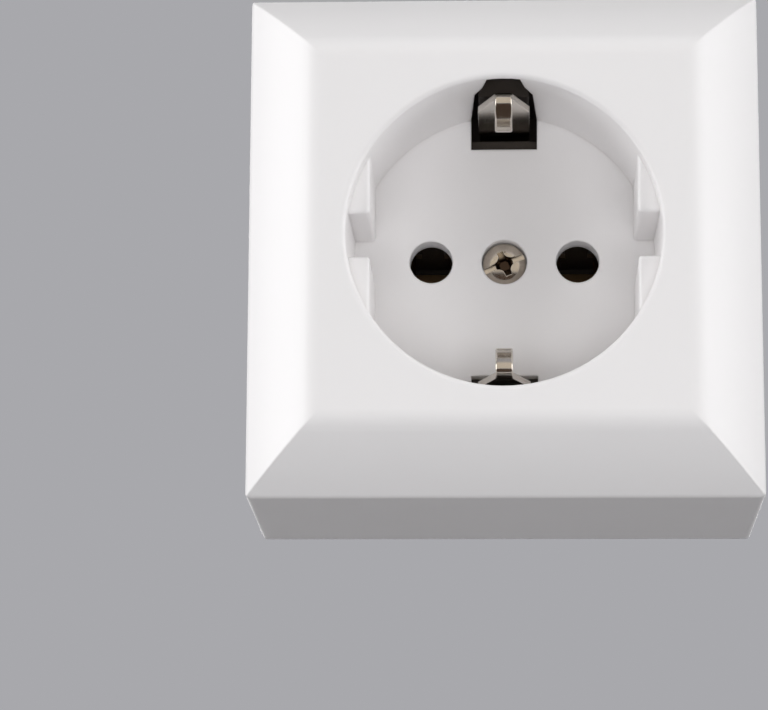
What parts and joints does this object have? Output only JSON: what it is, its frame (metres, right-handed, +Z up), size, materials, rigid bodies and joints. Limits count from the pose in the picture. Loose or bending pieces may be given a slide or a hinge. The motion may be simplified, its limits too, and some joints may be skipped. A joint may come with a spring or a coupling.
{
  "type": "type f wall socket",
  "caption": "Surface-mounted wall socket: square bevelled hood with a round plug recess, sprung earth clips, pin contacts and screw terminals on a base for the wall.",
  "frame": {"origin": "centre of the back, on the wall", "axes": "+X to the right seen from the front, +Y into the wall, +Z up; the front looks along -Y"},
  "size_m": [0.0658, 0.0405, 0.0658],
  "materials": {
    "white_moulding": "glossy white moulding with soft edges",
    "black_moulding": "dull black moulding",
    "nickel_plate": "bright nickel plating, slightly warm",
    "brass": "plain rolled brass",
    "spring_steel": "plain spring steel",
    "zinc_steel": "zinc-plated steel"
  },
  "bodies": {
    "root": {"socket_hood": "white_moulding", "back_plate": "black_moulding", "contact_block": "black_moulding", "contact_retainer": "black_moulding", "earth_bracket": "nickel_plate", "cover_screw": "nickel_plate", "left_contact": "brass", "right_contact": "brass", "left_grip_spring": "spring_steel", "right_grip_spring": "spring_steel", "left_clamp_plate": "zinc_steel", "right_clamp_plate": "zinc_steel", "earth_clamp_plate": "zinc_steel", "terminal_screws": "zinc_steel", "square_nuts": "zinc_steel", "earth_rivets": "brass", "retainer_screws": "zinc_steel"}
  },
  "joints": []
}
